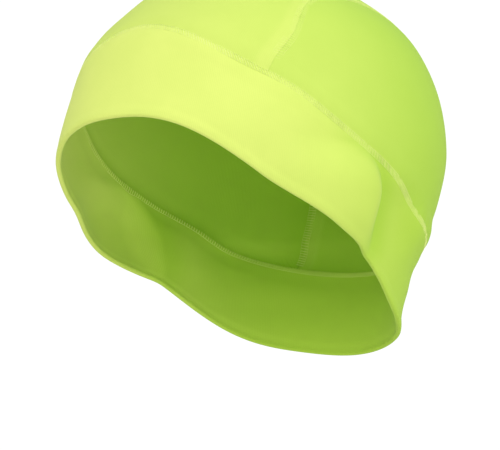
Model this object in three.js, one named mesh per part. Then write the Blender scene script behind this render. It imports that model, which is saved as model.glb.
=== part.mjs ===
// A close-fitting skull cap of stretch knit: a deep folded band that drops from the brow over the ears to
// the nape, and a crown of three panels, one from front to back over the middle and one on each side.
// Millimetres, +Z up. The face is towards -Y and the wearer's left ear towards +X. The origin is the point
// on the inside of the crown that lies on the top of the head.
import * as THREE from 'three';

// Outside sizes of the cap as it sits on a head. A drop is a depth below the outside top of the crown.
const CAP_WIDTH = 158; // from side to side, just above the ears
const FRONT_REACH = 106; // from the top of the crown forward to the brow
const BACK_REACH = 104; // from the top of the crown to the rearmost point
const NAPE_DROP = 182; // down to the lower edge at the nape, the cap's full height
const EAR_DROP = 148; // down to the lower edge at the ear
const BROW_DROP = 91; // down to the lower edge at the brow
const SEAM_BROW_DROP = 44; // down to the seam between band and crown, above the brow
const SEAM_EAR_DROP = 104; // the same seam above the ear
const SEAM_NAPE_DROP = 140; // the same seam above the nape
const SQUARENESS = 0.02; // how far the plan fills out between its front, sides and back

// Fabric: the band is folded double at its lower edge, the crown is one layer.
const BAND_WALL = 2.4;
const CROWN_WALL = 1.2;
const SEAM_GAP = 0.3; // between two pieces along a seam
const FOLD_STEPS = 3; // corners round the folded lower edge, between its outside and its inside

// The middle panel of the crown, measured straight across between its two seams.
const PANEL_BROW_WIDTH = 124.5;
const PANEL_TOP_WIDTH = 107;
const PANEL_NAPE_WIDTH = 80;

// Rows along the seam beside the middle panel, pitched from the brow over the top to the nape. brow, top and
// nape are shares of the three widths.
const PANEL_LINE = [
  { pitch: -20, brow: 1.0, top: 0.0, nape: 0.0 },
  { pitch: 15, brow: 1.0, top: 0.0, nape: 0.0 },
  { pitch: 35, brow: 1.02, top: 0.0, nape: 0.0 },
  { pitch: 60, brow: 0.5, top: 0.5, nape: 0.0 },
  { pitch: 90, brow: 0.0, top: 1.0, nape: 0.0 },
  { pitch: 150, brow: 0.0, top: 0.4, nape: 0.6 },
  { pitch: 205, brow: 0.0, top: 0.0, nape: 1.0 },
  { pitch: 240, brow: 0.0, top: 0.0, nape: 1.0 },
];

// The ear under the band pushes it out: a soft rise in front, a steep drop behind.
const EAR_PUSH = 10;
const EAR_CENTER_DROP = 125;
const EAR_CENTER_BACK = -24; // back from the top of the crown, negative towards the brow
const EAR_AHEAD = 40;
const EAR_BEHIND = 31;
const EAR_ABOVE = 26;
const EAR_BELOW = 30;
const EAR_SOFT = 2; // power of the soft slope in front
const EAR_STEEP = 5; // power of the steep slope behind
const EAR_UPRIGHT = 2.4; // power of the slopes above and below
const EAR_FULL_ABOVE = 2; // power of the upper half of the back edge's curve: 2 is an ellipse, more is fuller
const EAR_FULL_BELOW = 5; // the same of its lower half
const EAR_TIP = 0.98; // share of the height beyond which the steep slope draws in no further

// Sections of the cap from the top down. level is a share of NAPE_DROP, side of half the CAP_WIDTH, front
// of FRONT_REACH and back of BACK_REACH.
const SECTIONS = [
  { level: 0.0, side: 0.0, front: 0.0, back: 0.0 },
  { level: 0.03, side: 0.345, front: 0.3, back: 0.385 },
  { level: 0.085, side: 0.55, front: 0.48, back: 0.595 },
  { level: 0.17, side: 0.775, front: 0.66, back: 0.8 },
  { level: 0.28, side: 0.92, front: 0.83, back: 0.94 },
  { level: 0.405, side: 0.985, front: 0.92, back: 1.005 },
  { level: 0.535, side: 1.0, front: 1.0, back: 0.99 },
  { level: 0.66, side: 0.935, front: 1.01, back: 0.92 },
  { level: 0.79, side: 0.85, front: 0.99, back: 0.83 },
  { level: 0.92, side: 0.775, front: 0.96, back: 0.75 },
  { level: 1.0, side: 0.76, front: 0.95, back: 0.735 },
];

// How far the lower edge and the seam above it lie below a plain curve through their drops at the brow, the
// ear and the nape. angle is degrees round from the brow, the others are shares of the drop from brow to nape.
const LINES = [
  { angle: 0, edge: 0.0, seam: 0.0 },
  { angle: 15, edge: -0.012, seam: 0.002 },
  { angle: 30, edge: -0.018, seam: 0.012 },
  { angle: 45, edge: 0.005, seam: 0.02 },
  { angle: 60, edge: 0.028, seam: 0.0 },
  { angle: 75, edge: 0.034, seam: 0.008 },
  { angle: 90, edge: -0.004, seam: 0.0 },
  { angle: 105, edge: 0.004, seam: -0.008 },
  { angle: 120, edge: 0.02, seam: 0.01 },
  { angle: 150, edge: 0.0, seam: 0.005 },
  { angle: 180, edge: 0.0, seam: 0.0 },
];

// Shallow folds and swells of the worn cloth, the same on both sides. angle is degrees round from the brow,
// drop a share of NAPE_DROP, spread degrees round, depth a share of NAPE_DROP, push millimetres outward.
const FOLDS = [
  // a swell over the seam at the back
  { angle: 140, drop: 0.71, spread: 55, depth: 0.055, push: 1.5 },
  // a hollow under the seam at the back
  { angle: 136, drop: 0.81, spread: 45, depth: 0.06, push: -0.8 },
  // a hollow behind the ear
  { angle: 104, drop: 0.71, spread: 18, depth: 0.12, push: -3.5 },
];
const FOLD_SLOPE = 2; // power of the slopes of a fold or swell

// Facets.
const BAND_COLUMNS = 90;
const BAND_ROWS = 8;
const PANEL_COLUMNS = 14;
const SIDE_ROWS = 9;

// Colours of the knit.
const BAND_COLOR = 0xdcf179;
const CROWN_COLOR = 0xcbeb70;
const KNIT_ROUGHNESS = 0.9;

const DEGREE = Math.PI / 180;
const SLOPE_STEP = 0.01; // step used to find the slope of the surface
const WELD = 0.001; // corners closer than this are one
const AIM_DROP = 0.45 * NAPE_DROP; // the crown is laid out by directions from this point inside the cap
const AIM_STEPS = 34; // halvings in the search along a direction
const FIRST_LEAN = Math.PI / 5; // where the search for the seam's lean starts
const LEAN_STEPS = 8; // rounds in that search
const CORNER_STEPS = 24; // halvings in the search for a panel's corner
const TIP_ROOM = 0.015; // least share of a seam between its end and the next column

// A natural cubic spline through the given points.
function makeSpline(xs, ys) {
  const count = xs.length;
  const bend = new Array(count).fill(0);
  const upper = new Array(count).fill(0);
  for (let i = 1; i < count - 1; i++) {
    const before = xs[i] - xs[i - 1];
    const after = xs[i + 1] - xs[i];
    const turn = 6 * ((ys[i + 1] - ys[i]) / after - (ys[i] - ys[i - 1]) / before);
    const pivot = 2 * (before + after) - before * upper[i - 1];
    upper[i] = after / pivot;
    bend[i] = (turn - before * bend[i - 1]) / pivot;
  }
  for (let i = count - 2; i > 0; i--) {
    bend[i] -= upper[i] * bend[i + 1];
  }
  return (x) => {
    const inside = THREE.MathUtils.clamp(x, xs[0], xs[count - 1]);
    let i = 0;
    while (i < count - 2 && inside > xs[i + 1]) {
      i++;
    }
    const span = xs[i + 1] - xs[i];
    const a = xs[i + 1] - inside;
    const b = inside - xs[i];
    const curve = (bend[i] * a ** 3 + bend[i + 1] * b ** 3) / (6 * span);
    const first = (ys[i] / span - (bend[i] * span) / 6) * a;
    const second = (ys[i + 1] / span - (bend[i + 1] * span) / 6) * b;
    return curve + first + second;
  };
}

// The shares are squared for the spline, so that the crown closes round at the top.
function sectionShare(column) {
  const levels = SECTIONS.map((row) => row.level);
  const squares = SECTIONS.map((row) => row[column] ** 2);
  const spline = makeSpline(levels, squares);
  return (level) => Math.sqrt(Math.max(spline(level), 0));
}

const sideShare = sectionShare('side');
const frontShare = sectionShare('front');
const backShare = sectionShare('back');

// A smooth line through a column of LINES, the same on both sides of the brow and of the nape.
function lineShape(column) {
  const angles = LINES.map((row) => row.angle * DEGREE);
  const values = LINES.map((row) => row[column]);
  const before = angles.slice(1).reverse().map((angle) => -angle);
  const after = angles.slice(0, -1).reverse().map((angle) => 2 * Math.PI - angle);
  const backwards = [...values].reverse();
  const mirrored = [...backwards.slice(0, -1), ...values, ...backwards.slice(1)];
  return makeSpline([...before, ...angles, ...after], mirrored);
}

const edgeShape = lineShape('edge');
const seamShape = lineShape('seam');

// A curve round the cap given by its drops at the brow, ear and nape and the shape that it takes between.
function dropAround(angle, brow, ear, nape, shape) {
  const ends = (brow + nape) / 2;
  const middle = (ends + ear) / 2;
  const turn = Math.abs(Math.atan2(Math.sin(angle), Math.cos(angle)));
  return middle + ((brow - nape) / 2) * Math.cos(angle) + (ends - middle) * Math.cos(2 * angle)
    + (nape - brow) * shape(turn);
}

function edgeDrop(angle) {
  return dropAround(angle, BROW_DROP, EAR_DROP, NAPE_DROP, edgeShape);
}

function seamDrop(angle) {
  return dropAround(angle, SEAM_BROW_DROP, SEAM_EAR_DROP, SEAM_NAPE_DROP, seamShape);
}

// A smooth hump, 1 in its middle and 0 from reach outwards. A higher power gives a flatter top.
function hump(distance, reach, power) {
  const share = Math.min(Math.abs(distance) / reach, 1);
  return (1 - share ** power) ** 2;
}

function earRise(y, drop) {
  const upright = drop - EAR_CENTER_DROP;
  const height = upright < 0 ? EAR_ABOVE : EAR_BELOW;
  const level = Math.min(Math.abs(upright) / height, EAR_TIP);
  const along = y - EAR_CENTER_BACK;
  const fullness = upright < 0 ? EAR_FULL_ABOVE : EAR_FULL_BELOW;
  const behind = EAR_BEHIND * (1 - level ** fullness) ** (1 / fullness);
  const reach = along < 0 ? EAR_AHEAD : behind;
  const power = along < 0 ? EAR_SOFT : EAR_STEEP;
  return EAR_PUSH * hump(along, reach, power) * hump(upright, height, EAR_UPRIGHT);
}

function foldPush(angle, level) {
  const turn = Math.abs(Math.atan2(Math.sin(angle), Math.cos(angle))) / DEGREE;
  let push = 0;
  for (const fold of FOLDS) {
    const round = hump(turn - fold.angle, fold.spread, FOLD_SLOPE);
    push += fold.push * round * hump(level - fold.drop, fold.depth, FOLD_SLOPE);
  }
  return push;
}

// A point of the outside surface. angle runs from the brow over the wearer's left ear.
function capPoint(angle, drop) {
  const level = drop / NAPE_DROP;
  const swell = 1 + SQUARENESS * Math.sin(2 * angle) ** 2;
  const forward = Math.cos(angle) > 0 ? FRONT_REACH * frontShare(level) : BACK_REACH * backShare(level);
  const push = foldPush(angle, level);
  const x = ((CAP_WIDTH / 2) * sideShare(level) * swell + push) * Math.sin(angle);
  const y = -(forward * swell + push) * Math.cos(angle);
  return new THREE.Vector3(x + Math.sign(x) * earRise(y, drop), y, CROWN_WALL - drop);
}

// The outward direction square to the surface.
function capNormal(angle, drop) {
  if (drop < SLOPE_STEP * 2) {
    return new THREE.Vector3(0, 0, 1);
  }
  const round = capPoint(angle + SLOPE_STEP, drop).sub(capPoint(angle - SLOPE_STEP, drop));
  const down = capPoint(angle, drop + SLOPE_STEP).sub(capPoint(angle, drop - SLOPE_STEP));
  return down.cross(round).normalize();
}

// A place on the surface, given as its drop, point and outward direction.
function place(angle, drop) {
  return { drop, point: capPoint(angle, drop), normal: capNormal(angle, drop) };
}

// The place where the surface is met in a direction from the aiming point.
function placeToward(direction) {
  const flat = Math.hypot(direction.x, direction.y);
  const angleAt = (drop) => {
    const level = drop / NAPE_DROP;
    const reach = direction.y < 0 ? FRONT_REACH * frontShare(level) : BACK_REACH * backShare(level);
    return Math.atan2(direction.x / ((CAP_WIDTH / 2) * sideShare(level)), -direction.y / reach);
  };
  let above = SLOPE_STEP;
  let below = NAPE_DROP;
  for (let i = 0; i < AIM_STEPS; i++) {
    const drop = (above + below) / 2;
    const point = capPoint(angleAt(drop), drop);
    if ((AIM_DROP - drop) * flat > Math.hypot(point.x, point.y) * direction.z) {
      above = drop;
    } else {
      below = drop;
    }
  }
  return place(angleAt(below), below);
}

// A direction that leans sideways from the middle plane and is pitched up from the brow over the top.
function aim({ lean, pitch }) {
  const upright = Math.cos(lean);
  return new THREE.Vector3(Math.sin(lean), -upright * Math.cos(pitch), upright * Math.sin(pitch));
}

// Lean and pitch of a point as seen from the aiming point.
function aimOf(point) {
  const rise = point.z - CROWN_WALL + AIM_DROP;
  const lean = Math.atan2(point.x, Math.hypot(point.y, rise));
  const pitch = Math.atan2(rise, -point.y);
  return { lean, pitch: pitch < -Math.PI / 2 ? pitch + 2 * Math.PI : pitch };
}

const panelWidth = makeSpline(
  PANEL_LINE.map(({ pitch }) => pitch * DEGREE),
  PANEL_LINE.map(({ brow, top, nape }) => (
    brow * PANEL_BROW_WIDTH + top * PANEL_TOP_WIDTH + nape * PANEL_NAPE_WIDTH
  )),
);

// Lean and pitch of the seam beside the middle panel, moved sideways by shift.
function crownSeam(pitch, shift) {
  const aside = panelWidth(pitch) / 2 + shift;
  let lean = FIRST_LEAN;
  for (let i = 0; i < LEAN_STEPS; i++) {
    const found = placeToward(aim({ lean, pitch })).point;
    const reach = Math.hypot(found.x, found.y, found.z - CROWN_WALL + AIM_DROP);
    lean = Math.asin(Math.min(aside / reach, 1));
  }
  return { lean, pitch };
}

// A place on the seam between band and crown, moved square to the seam by shift, downwards if positive.
function bandSeam(angle, shift) {
  const drop = seamDrop(angle);
  const before = capPoint(angle - SLOPE_STEP, seamDrop(angle - SLOPE_STEP));
  const along = capPoint(angle + SLOPE_STEP, seamDrop(angle + SLOPE_STEP)).sub(before).normalize();
  const down = capPoint(angle, drop + SLOPE_STEP).sub(capPoint(angle, drop - SLOPE_STEP));
  const across = down.cross(along).length() / (2 * SLOPE_STEP);
  return place(angle, drop + shift / across);
}

// The angle at which the band seam meets the seam beside the middle panel, between two angles of which the
// first lies inside the middle panel.
function cornerAngle(inside, outside, sideShift, seamShift) {
  let within = inside;
  let beyond = outside;
  for (let i = 0; i < CORNER_STEPS; i++) {
    const angle = (within + beyond) / 2;
    const found = aimOf(bandSeam(angle, seamShift).point);
    if (found.lean < crownSeam(found.pitch, sideShift).lean) {
      within = angle;
    } else {
      beyond = angle;
    }
  }
  return (within + beyond) / 2;
}

function mixAim(a, b, share) {
  return { lean: a.lean + (b.lean - a.lean) * share, pitch: a.pitch + (b.pitch - a.pitch) * share };
}

// A closed solid from a row of rings of equal length. The rings either go round and meet, or the two end
// rings are closed by strips between their first and second half.
function solidFromRings(rings, meets) {
  const size = rings[0].length;
  const corners = rings.flat();
  const faces = [];
  const addQuad = (a, b, c, d) => faces.push([a, b, c], [a, c, d]);
  const last = meets ? rings.length : rings.length - 1;
  for (let i = 0; i < last; i++) {
    const next = (i + 1) % rings.length;
    for (let j = 0; j < size; j++) {
      const up = (j + 1) % size;
      addQuad(i * size + j, next * size + j, next * size + up, i * size + up);
    }
  }
  if (!meets) {
    const end = (rings.length - 1) * size;
    for (let j = 0; j < size / 2 - 1; j++) {
      addQuad(j, j + 1, size - 2 - j, size - 1 - j);
      addQuad(end + j, end + size - 1 - j, end + size - 2 - j, end + j + 1);
    }
  }
  return weld(corners, faces);
}

// Joins corners that coincide and drops the faces that this closes up.
function weld(corners, faces) {
  const kept = new Map();
  const positions = [];
  const indexOf = corners.map((corner) => {
    const key = corner.toArray().map((value) => Math.round(value / WELD)).join();
    if (!kept.has(key)) {
      kept.set(key, positions.length / 3);
      positions.push(corner.x, corner.y, corner.z);
    }
    return kept.get(key);
  });
  const indices = faces
    .map((face) => face.map((corner) => indexOf[corner]))
    .filter(([a, b, c]) => a !== b && b !== c && c !== a);
  const geometry = new THREE.BufferGeometry();
  geometry.setAttribute('position', new THREE.Float32BufferAttribute(positions, 3));
  geometry.setIndex(indices.flat());
  geometry.computeVertexNormals();
  return geometry;
}

// The point that lies a depth in from a place, square to the surface.
function inward({ point, normal }, depth) {
  return point.clone().addScaledVector(normal, -depth);
}

function range(count) {
  return Array.from({ length: count + 1 }, (_, i) => i / count);
}

// The band's columns round the cap. The side panels stand on the same ones.
const BAND_ANGLES = range(BAND_COLUMNS).slice(0, -1).map((turn) => turn * 2 * Math.PI);

// The ring of a flat wall through a row of places: out along the outside, back along the inside.
function wallRing(places, wall) {
  const outside = places.map(({ point }) => point);
  const inside = places.map((spot) => inward(spot, wall));
  return [...outside, ...inside.reverse()];
}

// The band: outside from the seam to the lower edge, round the fold, and back up the inside.
function buildBand() {
  const radius = BAND_WALL / 2;
  const rings = BAND_ANGLES.map((angle) => {
    const top = bandSeam(angle, SEAM_GAP / 2).drop;
    const bottom = edgeDrop(angle) - radius;
    const places = range(BAND_ROWS).map((share) => place(angle, top + (bottom - top) * share));
    const edge = places[BAND_ROWS];
    const heart = inward(edge, radius);
    const side = new THREE.Vector3(Math.cos(angle), Math.sin(angle), 0);
    const down = side.cross(edge.normal).normalize();
    down.multiplyScalar(-Math.sign(down.z));
    const fold = range(FOLD_STEPS + 1).slice(1, -1).map((share) => heart.clone()
      .addScaledVector(edge.normal, radius * Math.cos(share * Math.PI))
      .addScaledVector(down, radius * Math.sin(share * Math.PI)));
    const inside = places.map((spot) => inward(spot, BAND_WALL)).reverse();
    return [...places.map(({ point }) => point), ...fold, ...inside];
  });
  return solidFromRings(rings, true);
}

// Where the crown's seams meet the band seam, and the shares of the way between them at which the band has a
// column. Both edges of a seam have their corners there, so that its gap stays even.
const SEAM_FRONT = cornerAngle(0, Math.PI / 2, 0, 0);
const SEAM_BACK = cornerAngle(Math.PI, Math.PI / 2, 0, 0);
const SEAM_SHARES = [0, ...BAND_ANGLES
  .map((angle) => (angle - SEAM_FRONT) / (SEAM_BACK - SEAM_FRONT))
  .filter((share) => share > TIP_ROOM && share < 1 - TIP_ROOM), 1];

// The middle panel: its places are laid out between the band seam in front and behind and the two seams
// beside it.
function buildMiddlePanel() {
  const front = cornerAngle(0, Math.PI / 2, -SEAM_GAP / 2, -SEAM_GAP / 2);
  const back = cornerAngle(Math.PI, Math.PI / 2, -SEAM_GAP / 2, -SEAM_GAP / 2);
  const frontAim = (share) => aimOf(bandSeam(front * share, -SEAM_GAP / 2).point);
  const backAim = (share) => aimOf(bandSeam(Math.PI - (Math.PI - back) * share, -SEAM_GAP / 2).point);
  const rings = SEAM_SHARES.map((along) => {
    const corner = mixAim(frontAim(1), backAim(1), along);
    const seam = crownSeam(corner.pitch, -SEAM_GAP / 2);
    const places = range(PANEL_COLUMNS).map((across) => {
      const share = 2 * across - 1;
      const middle = mixAim(frontAim(share), backAim(share), along);
      const lean = middle.lean + (seam.lean - corner.lean) * share;
      return placeToward(aim({ lean, pitch: middle.pitch }));
    });
    return wallRing(places, CROWN_WALL);
  });
  return solidFromRings(rings, false);
}

// A side panel: a leaf between the seam beside the middle panel and the band seam, pointed at both ends.
function buildSidePanel(side) {
  const front = cornerAngle(0, Math.PI / 2, SEAM_GAP / 2, -SEAM_GAP / 2);
  const back = cornerAngle(Math.PI, Math.PI / 2, SEAM_GAP / 2, -SEAM_GAP / 2);
  const frontAim = aimOf(bandSeam(front, -SEAM_GAP / 2).point);
  const backAim = aimOf(bandSeam(back, -SEAM_GAP / 2).point);
  const rings = SEAM_SHARES.map((along) => {
    const angle = THREE.MathUtils.clamp(SEAM_FRONT + (SEAM_BACK - SEAM_FRONT) * along, front, back);
    const lower = bandSeam(angle, -SEAM_GAP / 2);
    const start = aim(aimOf(lower.point));
    const upper = aim(crownSeam(mixAim(frontAim, backAim, along).pitch, SEAM_GAP / 2));
    const isTip = along === 0 || along === 1;
    const places = range(SIDE_ROWS).map((share) => (
      isTip || share === 0 ? lower : placeToward(start.clone().lerp(upper, share).normalize())
    ));
    return wallRing(places, CROWN_WALL).map(({ x, y, z }) => new THREE.Vector3(x * side, y, z));
  });
  return solidFromRings(rings, false);
}

// Turns every face of a solid to look outwards.
function facingOut(geometry) {
  const position = geometry.getAttribute('position');
  const index = geometry.getIndex();
  const corner = (i) => new THREE.Vector3().fromBufferAttribute(position, index.getX(i));
  let volume = 0;
  for (let i = 0; i < index.count; i += 3) {
    volume += corner(i).dot(corner(i + 1).cross(corner(i + 2)));
  }
  if (volume < 0) {
    for (let i = 0; i < index.count; i += 3) {
      const first = index.getX(i);
      index.setX(i, index.getX(i + 1));
      index.setX(i + 1, first);
    }
    geometry.computeVertexNormals();
  }
  return geometry;
}

function addPiece(group, name, geometry, color) {
  const material = new THREE.MeshStandardMaterial({ color, roughness: KNIT_ROUGHNESS, metalness: 0 });
  const mesh = new THREE.Mesh(facingOut(geometry), material);
  mesh.name = name;
  group.add(mesh);
}

const cap = new THREE.Group();
addPiece(cap, 'band', buildBand(), BAND_COLOR);
addPiece(cap, 'crown_center_panel', buildMiddlePanel(), CROWN_COLOR);
addPiece(cap, 'side_panel_left', buildSidePanel(1), CROWN_COLOR);
addPiece(cap, 'side_panel_right', buildSidePanel(-1), CROWN_COLOR);

export default cap;
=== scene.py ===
"""A stretch-knit skull cap as it sits when worn: a folded band, a crown of three panels and their flat seams.

Metres, +Z up, the face towards -Y and the wearer's left ear towards +X.
"""
import logging
import math
from dataclasses import dataclass
from enum import Enum
from typing import Any, Callable, NamedTuple, Sequence

import bmesh
import bpy
import numpy as np
from mathutils import Matrix, Vector


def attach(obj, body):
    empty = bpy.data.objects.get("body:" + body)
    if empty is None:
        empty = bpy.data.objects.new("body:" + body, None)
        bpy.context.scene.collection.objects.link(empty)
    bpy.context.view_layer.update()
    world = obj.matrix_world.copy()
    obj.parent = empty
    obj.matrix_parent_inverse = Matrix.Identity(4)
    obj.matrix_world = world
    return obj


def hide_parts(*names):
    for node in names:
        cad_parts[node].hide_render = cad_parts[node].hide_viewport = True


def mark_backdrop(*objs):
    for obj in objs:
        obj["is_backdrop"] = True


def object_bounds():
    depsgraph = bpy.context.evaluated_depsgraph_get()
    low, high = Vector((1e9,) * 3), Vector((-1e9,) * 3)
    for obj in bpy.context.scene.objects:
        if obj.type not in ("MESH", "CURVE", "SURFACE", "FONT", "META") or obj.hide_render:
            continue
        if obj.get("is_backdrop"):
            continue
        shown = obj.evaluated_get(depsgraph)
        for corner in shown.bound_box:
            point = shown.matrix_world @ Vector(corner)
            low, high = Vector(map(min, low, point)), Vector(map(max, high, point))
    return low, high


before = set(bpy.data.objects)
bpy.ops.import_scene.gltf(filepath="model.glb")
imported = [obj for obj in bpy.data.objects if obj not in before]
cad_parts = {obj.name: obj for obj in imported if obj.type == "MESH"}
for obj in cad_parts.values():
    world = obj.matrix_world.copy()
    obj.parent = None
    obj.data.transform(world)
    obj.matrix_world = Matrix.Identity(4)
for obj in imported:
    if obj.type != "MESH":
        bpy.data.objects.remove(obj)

CAD_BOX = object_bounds()
BODY = "root"
DEGREE = math.pi / 180
MM = 0.001
CLOTH_UV = "Cloth"
# A per-point tone shift: it carries the painted highlight of the lap strips and the painted shade behind the
# ear.
TONE_SHIFT = "tone_shift"

log = logging.getLogger("skull_cap")
Array = np.ndarray


class Side(Enum):
    """The wearer's side that a piece lies on, as the sign of its X."""

    LEFT = 1
    RIGHT = -1


class Face(Enum):
    """The face of the cloth that a thread lies on, as the sign of its height."""

    OUTSIDE = 1
    INSIDE = -1


class Section(NamedTuple):
    """A level section: level is a share of the nape drop, the rest are shares of their reaches."""

    level: float
    side: float
    front: float
    back: float


class LineRow(NamedTuple):
    """How far the lower edge and the seam dip below their plain curves, at degrees round from the brow."""

    angle: float
    edge: float
    seam: float


class Fold(NamedTuple):
    """A shallow fold or swell: degrees round, shares of the nape drop, and metres outward."""

    angle: float
    drop: float
    spread: float
    depth: float
    push: float


class PanelRow(NamedTuple):
    """The middle panel's width at a pitch in degrees, as shares of its three named widths."""

    pitch: float
    brow: float
    top: float
    nape: float


class Spot(NamedTuple):
    """Places on the cap's outside: points and outward directions, each an array that ends in x, y, z."""

    point: Array
    normal: Array


class Wave(NamedTuple):
    """One of the waves that make a seam pucker: its height, how often it comes and where it starts."""

    height: float
    pace: float
    start: float


class Lamp(NamedTuple):
    """A soft lamp: where it stands, as shares of the camera's right, up and back, and its watts."""

    name: str
    right: float
    up: float
    back: float
    power: float


SECTIONS = (
    Section(0.0, 0.0, 0.0, 0.0),
    Section(0.03, 0.345, 0.3, 0.385),
    Section(0.085, 0.55, 0.48, 0.595),
    Section(0.17, 0.775, 0.66, 0.8),
    Section(0.28, 0.92, 0.83, 0.94),
    Section(0.405, 0.985, 0.92, 1.005),
    Section(0.535, 1.0, 1.0, 0.99),
    Section(0.66, 0.935, 1.01, 0.92),
    Section(0.79, 0.85, 0.99, 0.83),
    Section(0.92, 0.775, 0.96, 0.75),
    Section(1.0, 0.76, 0.95, 0.735),
)

LINES = (
    LineRow(0, 0.0, 0.0),
    LineRow(15, -0.012, 0.002),
    LineRow(30, -0.018, 0.012),
    LineRow(45, 0.005, 0.02),
    LineRow(60, 0.028, 0.0),
    LineRow(75, 0.034, 0.008),
    LineRow(90, -0.004, 0.0),
    LineRow(105, 0.004, -0.008),
    LineRow(120, 0.02, 0.01),
    LineRow(150, 0.0, 0.005),
    LineRow(180, 0.0, 0.0),
)

FOLDS = (
    # a swell over the seam at the back
    Fold(angle=140, drop=0.71, spread=55, depth=0.055, push=1.5 * MM),
    # a hollow under the seam at the back
    Fold(angle=136, drop=0.81, spread=45, depth=0.06, push=-0.8 * MM),
    # a hollow behind the ear
    Fold(angle=104, drop=0.71, spread=18, depth=0.12, push=-3.5 * MM),
)
FOLD_SLOPE = 2
PUCKER_WAVES = (Wave(1.0, 1.0, 0.0), Wave(0.6, 1.73, 1.1), Wave(0.4, 2.9, 2.3))
LAMPS = (
    Lamp("left", -1.0, 0.1, 0.25, 0.8),
    Lamp("upper_left", -0.8, 0.8, 0.5, 2.0),
    Lamp("front", 0.0, 0.3, 1.0, 3.1),
    Lamp("top", 0.0, 1.0, 0.2, 3.6),
    Lamp("right", 1.0, 0.35, 0.3, 4.6),
)

PANEL_LINE = (
    PanelRow(-20, 1.0, 0.0, 0.0),
    PanelRow(15, 1.0, 0.0, 0.0),
    PanelRow(35, 1.02, 0.0, 0.0),
    PanelRow(60, 0.5, 0.5, 0.0),
    PanelRow(90, 0.0, 1.0, 0.0),
    PanelRow(150, 0.0, 0.4, 0.6),
    PanelRow(205, 0.0, 0.0, 1.0),
    PanelRow(240, 0.0, 0.0, 1.0),
)


class NaturalSpline:
    """A natural cubic spline through given points."""

    def __init__(self, xs: Sequence[float], ys: Sequence[float]) -> None:
        """Solves the bends of the spline.

        Args:
            xs: rising places of the points.
            ys: values at those places.
        """
        self.xs = np.asarray(xs, float)
        self.ys = np.asarray(ys, float)
        self.gaps = np.diff(self.xs)
        count = len(self.xs)
        grid = np.eye(count)
        turn = np.zeros(count)
        slopes = np.diff(self.ys) / self.gaps
        for i in range(1, count - 1):
            before, after = self.gaps[i - 1], self.gaps[i]
            grid[i, i - 1:i + 2] = before, 2 * (before + after), after
            turn[i] = 6 * (slopes[i] - slopes[i - 1])
        self.bend = np.linalg.solve(grid, turn)

    def __call__(self, x: Array) -> Array:
        """Values of the spline.

        Args:
            x: places, held inside the first and last point.

        Returns:
            The values there.
        """
        inside = np.clip(x, self.xs[0], self.xs[-1])
        i = np.clip(np.searchsorted(self.xs, inside) - 1, 0, len(self.xs) - 2)
        span = self.gaps[i]
        a = self.xs[i + 1] - inside
        b = inside - self.xs[i]
        curve = (self.bend[i] * a**3 + self.bend[i + 1] * b**3) / (6 * span)
        first = (self.ys[i] / span - self.bend[i] * span / 6) * a
        second = (self.ys[i + 1] / span - self.bend[i + 1] * span / 6) * b
        return curve + first + second


def hump(distance: Array, reach: Array, power: Array) -> Array:
    """A smooth hump, 1 in its middle and 0 from reach outwards.

    Args:
        distance: how far from the middle.
        reach: where the hump ends.
        power: a higher one gives a flatter top.

    Returns:
        The height of the hump.
    """
    share = np.minimum(np.abs(distance) / reach, 1)
    return (1 - share**power) ** 2


def ease(value: Array, start: float, end: float) -> Array:
    """A smooth step from 0 at start to 1 at end; start may be the larger one.

    Args:
        value: where to read it.
        start: where the step is 0.
        end: where the step is 1.

    Returns:
        The step's height.
    """
    share = np.clip((value - start) / (end - start), 0, 1)
    return share * share * (3 - 2 * share)


def unit(vectors: Array) -> Array:
    """The same directions with length one."""
    return vectors / np.linalg.norm(vectors, axis=-1, keepdims=True)


def turn_from_brow(angle: Array) -> Array:
    """The angle from the brow, in radians from 0 to pi, the same on both sides."""
    return np.abs(np.arctan2(np.sin(angle), np.cos(angle)))


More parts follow.
